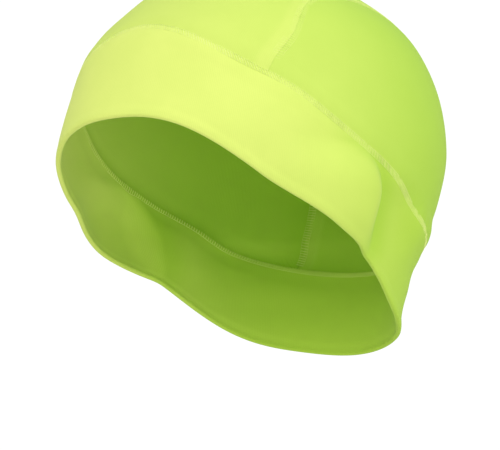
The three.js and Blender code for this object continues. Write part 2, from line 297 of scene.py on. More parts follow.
@dataclass(frozen=True)
class HeadForm:
    """The outside surface of the worn cap, by angle round from the brow and drop below the top."""

    width: float = 0.158
    front_reach: float = 0.106
    back_reach: float = 0.104
    nape_drop: float = 0.182
    ear_drop: float = 0.148
    brow_drop: float = 0.091
    seam_brow_drop: float = 0.044
    seam_ear_drop: float = 0.104
    seam_nape_drop: float = 0.140
    squareness: float = 0.02
    panel_brow_width: float = 0.1245
    panel_top_width: float = 0.107
    panel_nape_width: float = 0.080
    crown_wall: float = 0.0012
    ear_push: float = 0.010
    ear_center_drop: float = 0.125
    ear_center_back: float = -0.024
    ear_ahead: float = 0.040
    ear_behind: float = 0.031
    ear_above: float = 0.026
    ear_below: float = 0.030
    ear_soft: float = 2.0
    ear_steep: float = 5.0
    ear_upright: float = 2.4
    ear_full_above: float = 2.0
    ear_full_below: float = 5.0
    ear_tip: float = 0.98
    # Painted shade just behind the ear's back edge: its strength, its reach back and its height.
    shade_behind_ear: float = 0.3
    shade_reach: float = 0.018
    shade_height: float = 0.034
    aim_share: float = 0.45
    angle_step: float = 0.01
    drop_step: float = 0.00001
    halvings: int = 34
    corner_halvings: int = 24
    first_lean: float = math.pi / 5
    rounds: int = 8

    def __post_init__(self) -> None:
        """Lays the splines through the tables."""
        levels = [row.level for row in SECTIONS]
        for name in ("side", "front", "back"):
            squares = [getattr(row, name) ** 2 for row in SECTIONS]
            object.__setattr__(self, f"_{name}", NaturalSpline(levels, squares))
        angles = [row.angle * DEGREE for row in LINES]
        around = [-a for a in angles[:0:-1]] + angles + [2 * math.pi - a for a in angles[-2::-1]]
        for name in ("edge", "seam"):
            values = [getattr(row, name) for row in LINES]
            mirrored = values[:0:-1] + values + values[-2::-1]
            object.__setattr__(self, f"_{name}", NaturalSpline(around, mirrored))
        widths = [
            row.brow * self.panel_brow_width + row.top * self.panel_top_width + row.nape * self.panel_nape_width
            for row in PANEL_LINE
        ]
        object.__setattr__(self, "_panel", NaturalSpline([row.pitch * DEGREE for row in PANEL_LINE], widths))

    def share(self, name: str, level: Array) -> Array:
        """A reach's share at a level.

        Args:
            name: side, front or back.
            level: share of the nape drop.

        Returns:
            The share of that reach.
        """
        return np.sqrt(np.maximum(getattr(self, f"_{name}")(level), 0))

    def drop_around(self, angle: Array, brow: float, ear: float, nape: float, shape: NaturalSpline) -> Array:
        """The drop of a curve round the cap.

        Args:
            angle: angles round from the brow.
            brow: drop at the brow.
            ear: drop at the ear.
            nape: drop at the nape.
            shape: how the curve dips between them, as a share of its fall.

        Returns:
            The drops at those angles.
        """
        ends = (brow + nape) / 2
        middle = (ends + ear) / 2
        plain = middle + (brow - nape) / 2 * np.cos(angle) + (ends - middle) * np.cos(2 * angle)
        return plain + (nape - brow) * shape(turn_from_brow(angle))

    def edge_drop(self, angle: Array) -> Array:
        """The drop of the lower edge."""
        return self.drop_around(angle, self.brow_drop, self.ear_drop, self.nape_drop, self._edge)

    def seam_drop(self, angle: Array) -> Array:
        """The drop of the seam between band and crown."""
        drops = self.seam_brow_drop, self.seam_ear_drop, self.seam_nape_drop
        return self.drop_around(angle, *drops, self._seam)

    def ear_rise(self, y: Array, drop: Array) -> Array:
        """How far the ear under the band pushes it out: a soft rise in front, a steep drop behind.

        Args:
            y: places from front to back.
            drop: depths below the top.

        Returns:
            The push outward.
        """
        upright = drop - self.ear_center_drop
        height = np.where(upright < 0, self.ear_above, self.ear_below)
        along = y - self.ear_center_back
        reach = np.where(along < 0, self.ear_ahead, self._behind_ear(upright, height))
        power = np.where(along < 0, self.ear_soft, self.ear_steep)
        return self.ear_push * hump(along, reach, power) * hump(upright, height, self.ear_upright)

    def _behind_ear(self, upright: Array, height: Array) -> Array:
        """How far behind its middle the ear's back edge lies.

        Args:
            upright: depths below the ear's middle, less than 0 above it.
            height: how far the ear reaches up or down there.

        Returns:
            The distances back from the ear's middle.
        """
        level = np.minimum(np.abs(upright) / height, self.ear_tip)
        fullness = np.where(upright < 0, self.ear_full_above, self.ear_full_below)
        return self.ear_behind * (1 - level**fullness) ** (1 / fullness)

    def fold_push(self, angle: Array, level: Array) -> Array:
        """How far the folds and swells stand out.

        Args:
            angle: angles round from the brow.
            level: shares of the nape drop.

        Returns:
            The push outward.
        """
        turn = turn_from_brow(angle) / DEGREE
        parts = [
            fold.push * hump(turn - fold.angle, fold.spread, FOLD_SLOPE)
            * hump(level - fold.drop, fold.depth, FOLD_SLOPE)
            for fold in FOLDS
        ]
        return sum(parts)

    def band_painted_shade(self, point: Array) -> Array:
        """Painted shade on the band: a darkening just behind the ear's back edge, 0 elsewhere.

        Args:
            point: the points.

        Returns:
            The painted shade as a tone shift, less than 0 where darker.
        """
        drop = self.crown_wall - point[..., 2]
        upright = drop - self.ear_center_drop
        height = np.where(upright < 0, self.ear_above, self.ear_below)
        past = point[..., 1] - self.ear_center_back - self._behind_ear(upright, height)
        on_ear = self.ear_rise(point[..., 1], drop) / self.ear_push
        near = ease(np.abs(past), self.shade_reach, 0) * hump(upright, self.shade_height, self.ear_steep)
        return -self.shade_behind_ear * (1 - on_ear) * near

    def point(self, angle: Array, drop: Array) -> Array:
        """Points of the outside surface.

        Args:
            angle: angles from the brow over the wearer's left ear.
            drop: depths below the top.

        Returns:
            The points.
        """
        level = drop / self.nape_drop
        swell = 1 + self.squareness * np.sin(2 * angle) ** 2
        front = self.front_reach * self.share("front", level)
        back = self.back_reach * self.share("back", level)
        forward = np.where(np.cos(angle) > 0, front, back)
        push = self.fold_push(angle, level)
        x = (self.width / 2 * self.share("side", level) * swell + push) * np.sin(angle)
        y = -(forward * swell + push) * np.cos(angle)
        x = x + np.sign(x) * self.ear_rise(y, drop)
        return np.stack(np.broadcast_arrays(x, y, self.crown_wall - drop), -1)

    def normal(self, angle: Array, drop: Array) -> Array:
        """Outward directions square to the surface.

        Args:
            angle: angles round from the brow.
            drop: depths below the top.

        Returns:
            The directions, each of length one.
        """
        low = np.maximum(drop, 3 * self.drop_step)
        round_ = self.point(angle + self.angle_step, low) - self.point(angle - self.angle_step, low)
        down = self.point(angle, low + self.drop_step) - self.point(angle, low - self.drop_step)
        return unit(np.cross(down, round_))

    def spot(self, angle: Array, drop: Array) -> Spot:
        """Places on the surface by angle and drop."""
        return Spot(self.point(angle, drop), self.normal(angle, drop))

    def spot_toward(self, direction: Array) -> Spot:
        """Places where the surface is met in directions from the aiming point inside the cap.

        Args:
            direction: directions, each an x, y, z.

        Returns:
            The places.
        """
        x, y, z = np.moveaxis(direction, -1, 0)
        flat = np.hypot(x, y)
        above = np.full(x.shape, self.drop_step)
        below = np.full(x.shape, self.nape_drop)
        for _ in range(self.halvings):
            drop = (above + below) / 2
            point = self.point(self._angle_toward(x, y, drop), drop)
            high = (self.aim_share * self.nape_drop - drop) * flat > np.hypot(point[..., 0], point[..., 1]) * z
            above = np.where(high, drop, above)
            below = np.where(high, below, drop)
        return self.spot(self._angle_toward(x, y, below), below)

    def _angle_toward(self, x: Array, y: Array, drop: Array) -> Array:
        """The angle round at which a direction is met at a drop."""
        level = drop / self.nape_drop
        front = self.front_reach * self.share("front", level)
        back = self.back_reach * self.share("back", level)
        reach = np.where(y < 0, front, back)
        return np.arctan2(x / (self.width / 2 * self.share("side", level)), -y / reach)

    def aim(self, lean: Array, pitch: Array) -> Array:
        """Directions that lean sideways from the middle plane and are pitched up from the brow."""
        upright = np.cos(lean)
        return np.stack([np.sin(lean), -upright * np.cos(pitch), upright * np.sin(pitch)], -1)

    def aim_of(self, point: Array) -> tuple[Array, Array]:
        """Lean and pitch of points as seen from the aiming point.

        Args:
            point: the points.

        Returns:
            Their lean and their pitch.
        """
        rise = point[..., 2] - self.crown_wall + self.aim_share * self.nape_drop
        lean = np.arctan2(point[..., 0], np.hypot(point[..., 1], rise))
        pitch = np.arctan2(rise, -point[..., 1])
        return lean, np.where(pitch < -math.pi / 2, pitch + 2 * math.pi, pitch)

    def crown_seam_lean(self, pitch: Array, shift: Array) -> Array:
        """The lean of the seam beside the middle panel.

        Args:
            pitch: pitches up from the brow.
            shift: metres sideways from the seam.

        Returns:
            The leans.
        """
        pitch, aside = np.broadcast_arrays(pitch, self._panel(pitch) / 2 + shift)
        middle = np.array([0, 0, self.crown_wall - self.aim_share * self.nape_drop])
        lean = np.full(pitch.shape, self.first_lean)
        for _ in range(self.rounds):
            reach = np.linalg.norm(self.spot_toward(self.aim(lean, pitch)).point - middle, axis=-1)
            lean = np.arcsin(np.minimum(aside / reach, 1))
        return lean

    def band_seam_drop(self, angle: Array, shift: Array) -> Array:
        """The drop of a line beside the seam between band and crown.

        Args:
            angle: angles round from the brow.
            shift: metres square to the seam, downwards if positive.

        Returns:
            The drops.
        """
        drop = self.seam_drop(angle)
        ahead = self.point(angle + self.angle_step, self.seam_drop(angle + self.angle_step))
        behind = self.point(angle - self.angle_step, self.seam_drop(angle - self.angle_step))
        down = self.point(angle, drop + self.drop_step) - self.point(angle, drop - self.drop_step)
        across = np.linalg.norm(np.cross(down, unit(ahead - behind)), axis=-1) / (2 * self.drop_step)
        return drop + shift / across

    def corner_angle(self, inside: float, side_shift: float, seam_shift: float) -> float:
        """The angle at which the band seam meets the seam beside the middle panel.

        Args:
            inside: 0 for the corner at the brow, pi for the one at the nape.
            side_shift: metres sideways from the crown seam.
            seam_shift: metres down from the band seam.

        Returns:
            The angle.
        """
        within, beyond = inside, math.pi / 2
        for _ in range(self.corner_halvings):
            angle = np.array((within + beyond) / 2)
            lean, pitch = self.aim_of(self.point(angle, self.band_seam_drop(angle, seam_shift)))
            if lean < self.crown_seam_lean(pitch, side_shift):
                within = float(angle)
            else:
                beyond = float(angle)
        return (within + beyond) / 2


@dataclass(frozen=True)
class ClothRelief:
    """How the cloth rises and dips beside its seams and its folded edge, all small beside its wall."""

    lap_height: float = 0.22 * MM
    lap_width: float = 5.6 * MM
    lap_slope: float = 1.8 * MM
    lap_round: float = 1.6 * MM
    settle_depth: float = 0.05 * MM
    settle_width: float = 1.6 * MM
    pinch_depth: float = 0.14 * MM
    pinch_width: float = 3.4 * MM
    swell_height: float = 0.2 * MM
    swell_center: float = 6.0 * MM
    swell_width: float = 5.5 * MM
    pucker_height: float = 0.07 * MM
    pucker_length: float = 7.5 * MM
    pucker_reach: float = 9.0 * MM
    roll_height: float = 0.35 * MM
    roll_center: float = 2.6 * MM
    roll_width: float = 3.6 * MM
    drift_height: float = 0.12 * MM
    drift_length: float = 38.0 * MM

    def lap(self, distance: Array) -> Array:
        """The raised strip of the middle panel over the cloth lapped under its side edges."""
        raised = ease(distance, self.lap_width + self.lap_slope, self.lap_width)
        edge = np.clip(1 - distance / self.lap_round, 0, 1) ** 2
        return self.lap_height * (raised - edge)

    def settle(self, distance: Array) -> Array:
        """The faint dip of a side panel beside the middle panel."""
        return -self.settle_depth * hump(distance, self.settle_width, 2)

    def pinch(self, distance: Array) -> Array:
        """The dip at the band seam and the soft swell beyond it."""
        dip = self.pinch_depth * hump(distance, self.pinch_width, 2)
        return self.swell_height * hump(distance - self.swell_center, self.swell_width, 2) - dip

    def pucker(self, along: Array, distance: Array) -> Array:
        """Small waves along a seam that fade away from it.

        Args:
            along: metres along the seam.
            distance: metres from it.

        Returns:
            The rise.
        """
        turn = 2 * math.pi * along / self.pucker_length
        wave = sum(part.height * np.sin(part.pace * turn + part.start) for part in PUCKER_WAVES)
        return self.pucker_height * wave * ease(distance, self.pucker_reach, 0)

    def drift(self, point: Array) -> Array:
        """The faint unevenness of cloth pulled on by hand, worked out from where it lies."""
        x, y, z = np.moveaxis(point * (2 * math.pi / self.drift_length), -1, 0)
        crossed = np.sin(x + 0.7 * z + 0.4) * np.sin(0.8 * y - 0.5 * z + 1.7)
        return self.drift_height * (crossed + 0.5 * np.sin(1.6 * z + 0.9 * y + 2.2))

    def roll(self, distance: Array) -> Array:
        """The soft roll of the doubled cloth just above its lower edge."""
        return self.roll_height * hump(distance - self.roll_center, self.roll_width, 2)


class ClothMesh:
    """Gathers closed shells of quads with a cloth layout and turns them into one mesh object."""

    sharp: float = 70 * DEGREE

    def __init__(self) -> None:
        """Starts with nothing in it."""
        self.points: list[Array] = []
        self.faces: list[Array] = []
        self.layout: list[Array] = []
        self.tone_shift: list[Array] = []
        self.count = 0

    def add_shell(self, rings: Array, layout: Array, meets: bool, tone_shift: Array | float = 0.0) -> None:
        """Adds a shell made of rings of equal length.

        Args:
            rings: points as rings, places in a ring, x y z. Each ring closes on itself.
            layout: places in the flat cloth as rings, places, u v. The last ring may repeat the first.
            meets: whether the last ring meets the first; if not, both ends are closed.
            tone_shift: how much paler (above 0) or deeper (below 0) the colour is painted at each point, 0
                where it is as elsewhere.
        """
        ring_count, size = rings.shape[:2]
        rows = np.arange(ring_count if meets else ring_count - 1)
        i, j = np.meshgrid(rows, np.arange(size), indexing="ij")
        after, up = (i + 1) % ring_count, (j + 1) % size
        faces = np.stack([i * size + j, after * size + j, after * size + up, i * size + up], -1).reshape(-1, 4)
        places = [layout[i, j], layout[i + 1, j], layout[i + 1, up], layout[i, up]]
        flat = np.stack(places, 2).reshape(-1, 4, 2)
        if not meets:
            caps = self._caps(ring_count, size)
            faces = np.concatenate([faces, caps])
            flat = np.concatenate([flat, layout.reshape(-1, 2)[caps]])
        self.points.append(rings.reshape(-1, 3))
        self.faces.append(faces + self.count)
        self.layout.append(flat)
        self.tone_shift.append(np.broadcast_to(tone_shift, (ring_count, size)).reshape(-1))
        self.count += ring_count * size

    @staticmethod
    def _caps(ring_count: int, size: int) -> Array:
        """Quads that close the first and the last ring between their two halves."""
        j = np.arange(size // 2 - 1)
        first = np.stack([j, j + 1, size - 2 - j, size - 1 - j], -1)
        last = np.stack([j, size - 1 - j, size - 2 - j, j + 1], -1) + (ring_count - 1) * size
        return np.concatenate([first, last])

    def build(self, name: str, weld: float = 0.0) -> bpy.types.Object:
        """Makes the mesh object.

        Args:
            name: the object's name.
            weld: corners closer than this become one, where it is more than nothing.

        Returns:
            The object, linked to the scene, with its faces looking outwards.
        """
        points, faces = np.concatenate(self.points), np.concatenate(self.faces)
        mesh = bpy.data.meshes.new(name)
        mesh.from_pydata(points.tolist(), [], faces.tolist())
        cloth = mesh.uv_layers.new(name=CLOTH_UV)
        cloth.data.foreach_set("uv", np.concatenate(self.layout).reshape(-1).astype(np.float32))
        tone_values = mesh.attributes.new(TONE_SHIFT, "FLOAT", "POINT")
        tone_values.data.foreach_set("value", np.concatenate(self.tone_shift).astype(np.float32))
        self._clean(mesh, weld)
        mesh.shade_smooth()
        mesh.set_sharp_from_angle(angle=self.sharp)
        piece = bpy.data.objects.new(name, mesh)
        bpy.context.scene.collection.objects.link(piece)
        return piece

    @staticmethod
    def _clean(mesh: bpy.types.Mesh, weld: float) -> None:
        """Welds corners that coincide and turns every face outwards."""
        work = bmesh.new()
        work.from_mesh(mesh)
        if weld > 0:
            bmesh.ops.remove_doubles(work, verts=work.verts, dist=weld)
        bmesh.ops.recalc_face_normals(work, faces=work.faces)
        work.to_mesh(mesh)
        work.free()
        mesh.update()


class Shade:
    """A shader socket that can be used in Python sums, adding the Math nodes that they need."""

    def __init__(self, tree: "ShaderTree", socket: bpy.types.NodeSocket) -> None:
        """Wraps an output socket of a tree."""
        self.tree = tree
        self.socket = socket

    def _math(self, operation: str, *values: Any) -> "Shade":
        """One Math node of an operation and its values."""
        inputs = dict(enumerate(values))
        return self.tree.add("ShaderNodeMath", {"operation": operation}, inputs)

    def __add__(self, other: Any) -> "Shade":
        """This plus other."""
        return self._math("ADD", self, other)

    __radd__ = __add__

    def __sub__(self, other: Any) -> "Shade":
        """This minus other."""
        return self._math("SUBTRACT", self, other)

    def __rsub__(self, other: Any) -> "Shade":
        """Other minus this."""
        return self._math("SUBTRACT", other, self)

    def __mul__(self, other: Any) -> "Shade":
        """This times other."""
        return self._math("MULTIPLY", self, other)

    __rmul__ = __mul__

    def wave(self) -> "Shade":
        """The sine of this."""
        return self._math("SINE", self)

    def size(self) -> "Shade":
        """This without its sign."""
        return self._math("ABSOLUTE", self)

    def step(self, start: float, end: float) -> "Shade":
        """A smooth step of this, from 0 at start to 1 at end.

        Args:
            start: where it is 0.
            end: where it is 1.

        Returns:
            The step.
        """
        settings = {"interpolation_type": "SMOOTHSTEP"}
        return self.tree.add("ShaderNodeMapRange", settings, {0: self, 1: start, 2: end, 3: 0.0, 4: 1.0})


class ShaderTree:
    """The nodes of one material."""

    def __init__(self, name: str) -> None:
        """Makes a material with one Principled shader in it."""
        self.material = bpy.data.materials.new(name)
        self.material.use_nodes = True
        self.nodes = self.material.node_tree.nodes
        self.links = self.material.node_tree.links
        self.shader = next(node for node in self.nodes if node.type == "BSDF_PRINCIPLED")

    def add(self, kind: str, settings: dict[str, Any], inputs: dict[Any, Any], output: Any = 0) -> Shade:
        """Adds one node.

        Args:
            kind: the node's type.
            settings: its own properties, set first.
            inputs: values or sockets by the name or number of its inputs.
            output: which output to give back.

        Returns:
            That output.
        """
        node = self.nodes.new(kind)
        for name, value in settings.items():
            setattr(node, name, value)
        for key, value in inputs.items():
            self._feed(node.inputs[key], value)
        return Shade(self, node.outputs[output])

    def mix(self, share: Any, first: Any, second: Any, within: bool = True) -> Shade:
        """A colour between two, or beyond them.

        Args:
            share: 0 for the first, 1 for the second.
            first: a colour or socket.
            second: a colour or socket.
            within: whether a share below 0 or above 1 counts as 0 or 1.

        Returns:
            The mixed colour.
        """
        settings = {"data_type": "RGBA", "clamp_factor": within}
        return self.add("ShaderNodeMix", settings, {0: share, 6: first, 7: second}, 2)

    def finish(self, links: dict[str, Any], values: dict[str, Any]) -> bpy.types.Material:
        """Feeds the shader.

        Args:
            links: what varies over the surface, by input name.
            values: what is the same all over, by input name.

        Returns:
            The material.
        """
        for name, value in {**values, **links}.items():
            self._feed(self.shader.inputs[name], value)
        return self.material

    def _feed(self, socket: bpy.types.NodeSocket, value: Any) -> None:
        """Links a socket or sets its value."""
        if isinstance(value, Shade):
            self.links.new(value.socket, socket)
        else:
            socket.default_value = value


def linear(red: int, green: int, blue: int) -> tuple[float, float, float, float]:
    """A colour given in screen steps of 0 to 255, as light.

    Args:
        red: red.
        green: green.
        blue: blue.

    Returns:
        The colour as the shader takes it.
    """
    parts = [step / 255 for step in (red, green, blue)]
    light = [part / 12.92 if part <= 0.04045 else ((part + 0.055) / 1.055) ** 2.4 for part in parts]
    return light[0], light[1], light[2], 1.0


@dataclass(frozen=True)
class KnitFinish:
    """Matte stretch jersey, with painted light and shade: paler towards the brow, where the light falls, deeper
    towards the nape.
    """

    name: str
    painted_light: tuple[float, float, float, float]
    painted_shade: tuple[float, float, float, float]
    brow_y: float = -0.1
    nape_y: float = 0.07
    wale: float = 0.0009
    loop: float = 0.0007
    wale_depth: float = 0.00005
    roughness: float = 0.88
    roughness_play: float = 0.06
    mottle: float = 0.05
    mottle_scale: float = 60.0
    fuzz_scale: float = 1400.0
    fuzz_depth: float = 0.00003
    sheen: float = 0.09
    sheen_roughness: float = 0.45
    specular: float = 0.16
    cloud_low: float = 0.3
    cloud_high: float = 0.7
    groove_painted_shade: float = 0.12
    bump_strength: float = 0.6
    loop_lean: float = 1.6
    loop_share: float = 0.35
    deep_share: tuple[float, float, float] = (0.8, 0.86, 0.7)

    def material(self) -> bpy.types.Material:
        """The knit's material."""
        tree = ShaderTree(self.name)
        where = tree.add("ShaderNodeTexCoord", {}, {}, "Object")
        # Painted light and shade: the colour runs by place alone from the lit brow to the shaded nape.
        painted_shade = self._painted_shade_share(tree, where)
        base = tree.mix(painted_shade, self.painted_light, self.painted_shade, within=False)
        cloud = tree.add("ShaderNodeTexNoise", {}, {"Vector": where, "Scale": self.mottle_scale, "Detail": 3.0})
        patches = cloud.step(self.cloud_low, self.cloud_high)
        shaded = tree.mix(patches * self.mottle, base, self._deep())
        relief, groove = self._jersey(tree, where)
        # Painted shade: the grooves between the wales are tinted towards the darkest tint.
        colour = tree.mix(groove * self.groove_painted_shade, shaded, self._deep())
        depth = {"Strength": self.bump_strength, "Distance": 1.0, "Height": relief}
        bump = tree.add("ShaderNodeBump", {}, depth)
        roughness = self.roughness + self.roughness_play * (cloud - 0.5)
        links = {"Base Color": colour, "Roughness": roughness, "Normal": bump}
        values = {
            "Sheen Weight": self.sheen,
            "Sheen Roughness": self.sheen_roughness,
            "Specular IOR Level": self.specular,
        }
        return tree.finish(links, values)

    def _deep(self) -> tuple[float, float, float, float]:
        """The knit's darkest tint, for its random patches and, as painted shade, for the grooves between its
        wales.
        """
        red, green, blue = (part * share for part, share in zip(self.painted_shade, self.deep_share))
        return red, green, blue, 1.0

    def _painted_shade_share(self, tree: ShaderTree, where: Shade) -> Shade:
        """The share of painted shade, from the lit brow to the shaded nape, less where the tone shift is above
        0.
        """
        across = tree.add("ShaderNodeSeparateXYZ", {}, {0: where}, "Y")
        tone_shift = tree.add("ShaderNodeAttribute", {"attribute_name": TONE_SHIFT}, {}, "Fac")
        return across.step(self.brow_y, self.nape_y) - tone_shift

    def _jersey(self, tree: ShaderTree, where: Shade) -> tuple[Shade, Shade]:
        """The knit's relief and the grooves between its wales.

        Args:
            tree: the material's nodes.
            where: the place on the object.

        Returns:
            The height in metres, and 1 in the grooves.
        """
        flat = tree.add("ShaderNodeUVMap", {"uv_map": CLOTH_UV}, {})
        u = tree.add("ShaderNodeSeparateXYZ", {}, {0: flat}, "X")
        v = tree.add("ShaderNodeSeparateXYZ", {}, {0: flat}, "Y")
        wale = (u * (math.pi / self.wale)).wave().size()
        lean = wale * self.loop_lean
        loop = (v * (2 * math.pi / self.loop) + lean).wave() * 0.5 + 0.5
        fuzz = tree.add("ShaderNodeTexNoise", {}, {"Vector": where, "Scale": self.fuzz_scale, "Detail": 2.0})
        rib = wale * (1 - self.loop_share + self.loop_share * loop)
        return rib * self.wale_depth + fuzz * self.fuzz_depth, 1 - wale


@dataclass(frozen=True)
class ThreadFinish:
    """Soft textured thread, a little lighter than the knit."""

    name: str
    light: tuple[float, float, float, float]
    shadow: tuple[float, float, float, float]
    twist: float = 0.0006
    twist_depth: float = 0.00003
    roughness: float = 0.75
    sheen: float = 0.3
    specular: float = 0.3
    bump_strength: float = 0.6

    def material(self) -> bpy.types.Material:
        """The thread's material."""
        tree = ShaderTree(self.name)
        flat = tree.add("ShaderNodeUVMap", {"uv_map": CLOTH_UV}, {})
        u = tree.add("ShaderNodeSeparateXYZ", {}, {0: flat}, "X")
        v = tree.add("ShaderNodeSeparateXYZ", {}, {0: flat}, "Y")
        ply = ((u + v) * (math.pi / self.twist)).wave().size()
        colour = tree.mix(ply, self.shadow, self.light)
        depth = {"Strength": self.bump_strength, "Distance": 1.0, "Height": ply * self.twist_depth}
        bump = tree.add("ShaderNodeBump", {}, depth)
        links = {"Base Color": colour, "Normal": bump}
        values = {
            "Roughness": self.roughness,
            "Sheen Weight": self.sheen,
            "Specular IOR Level": self.specular,
        }
        return tree.finish(links, values)


@dataclass(frozen=True)
class Finishes:
    """The cap's three finishes."""

    # Each knit's first colour is painted light for the brow, its second painted shade for the nape.
    band: KnitFinish = KnitFinish("band_knit", linear(234, 249, 128), linear(183, 222, 72))
    crown: KnitFinish = KnitFinish("crown_knit", linear(221, 241, 117), linear(181, 221, 74))
    thread: ThreadFinish = ThreadFinish("seam_thread", linear(243, 252, 156), linear(222, 243, 118))


def dress(piece: bpy.types.Object, material: bpy.types.Material) -> None:
    """Gives a piece its material and its place in the record.

    Args:
        piece: the object.
        material: its material.
    """
    piece.data.materials.clear()
    piece.data.materials.append(material)
    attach(piece, BODY)
    log.info("%s: %d faces", piece.name, len(piece.data.polygons))


def run_length(points: Array, axis: int) -> Array:
    """Metres travelled along an axis of a grid of points, from its start.

    Args:
        points: the grid.
        axis: the axis to travel.

    Returns:
        The lengths, in the grid's shape.
    """
    steps = np.linalg.norm(np.diff(points, axis=axis), axis=-1)
    start = np.zeros_like(np.take(steps, [0], axis=axis))
    return np.concatenate([start, np.cumsum(steps, axis=axis)], axis=axis)


def crowded_ends(count: int, ease_in: float = 0.55) -> Array:
    """Shares from 0 to 1 that lie closer together towards both ends."""
    share = np.linspace(0, 1, count)
    return (1 - ease_in) * share + ease_in * (1 - np.cos(math.pi * share)) / 2


@dataclass
class Band:
    """The deep band, one knit folded double at its clean lower edge."""

    form: HeadForm
    relief: ClothRelief
    wall: float = 0.0024
    inner_gap: float = 0.0001
    seam_gap: float = 0.00002
    columns: int = 400
    rows: int = 40
    fold_corners: int = 9
    pucker_share: float = 0.6

    def build(self) -> bpy.types.Object:
        """The band's mesh: two layers of cloth that are one at the fold."""
        angle = np.arange(self.columns) / self.columns * 2 * math.pi
        top = self.form.band_seam_drop(angle, self.seam_gap / 2)
        bottom = self.form.edge_drop(angle) - self.wall / 2
        share = crowded_ends(self.rows + 1)
        drop = top[:, None] + (bottom - top)[:, None] * share
        spot = self.form.spot(angle[:, None], drop)
        point = self._lifted(spot)
        radius = self.wall / 2
        outer = self._layer(point, spot.normal, angle, radius, radius)
        inner = self._layer(point, spot.normal, angle, radius, self.inner_gap / 2)
        rings = np.concatenate([outer, inner[:, ::-1]], 1)
        sheet = ClothMesh()
        # The band's tone shift is the painted shade behind the ear.
        sheet.add_shell(rings, self._layout(outer), True, self.form.band_painted_shade(rings))
        return sheet.build("knit_band")

    def _lifted(self, spot: Spot) -> Array:
        """The band's outside with its pinch, swell, roll and unevenness."""
        down = run_length(spot.point, 1)
        up = down[:, -1:] - down + self.wall / 2
        along = run_length(spot.point, 0)
        lift = self.relief.pinch(down) + self.relief.pucker(along, down) * self.pucker_share
        lift = lift + self.relief.roll(up) + self.relief.drift(spot.point)
        return spot.point + spot.normal * lift[..., None]

    def _layer(self, point: Array, normal: Array, angle: Array, heart: float, radius: float) -> Array:
        """One face of the folded cloth: down, round the fold and up again.

        Args:
            point: the outside of the band.
            normal: its outward directions.
            angle: the columns' angles.
            heart: how deep the fold's middle lies.
            radius: how far the face lies from it.

        Returns:
            The points, column by column.
        """
        side = np.stack([np.cos(angle), np.sin(angle), np.zeros_like(angle)], -1)
        down = unit(np.cross(side, normal[:, -1]))
        down = down * -np.sign(down[:, 2:])
        middle = point - normal * heart
        turn = np.linspace(0, math.pi, self.fold_corners + 2)[1:-1]
        out = normal[:, -1, None] * np.cos(turn)[:, None] + down[:, None] * np.sin(turn)[:, None]
        fold = middle[:, -1, None] + out * radius
        return np.concatenate([middle + normal * radius, fold, (middle - normal * radius)[:, ::-1]], 1)

    @staticmethod
    def _layout(outer: Array) -> Array:
        """The flat cloth's places of both faces, with the first column repeated at the end."""
        closed = np.concatenate([outer, outer[:1]])
        length = run_length(closed, 0)
        round_ = np.broadcast_to(length.mean(1, keepdims=True), length.shape)
        face = np.stack([round_, run_length(closed, 1)], -1)
        return np.concatenate([face, face[:, ::-1]], 1)

    def make(self, finishes: Finishes) -> bpy.types.Object:
        piece = self.build()
        dress(piece, finishes.band.material())
        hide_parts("band")
        return piece


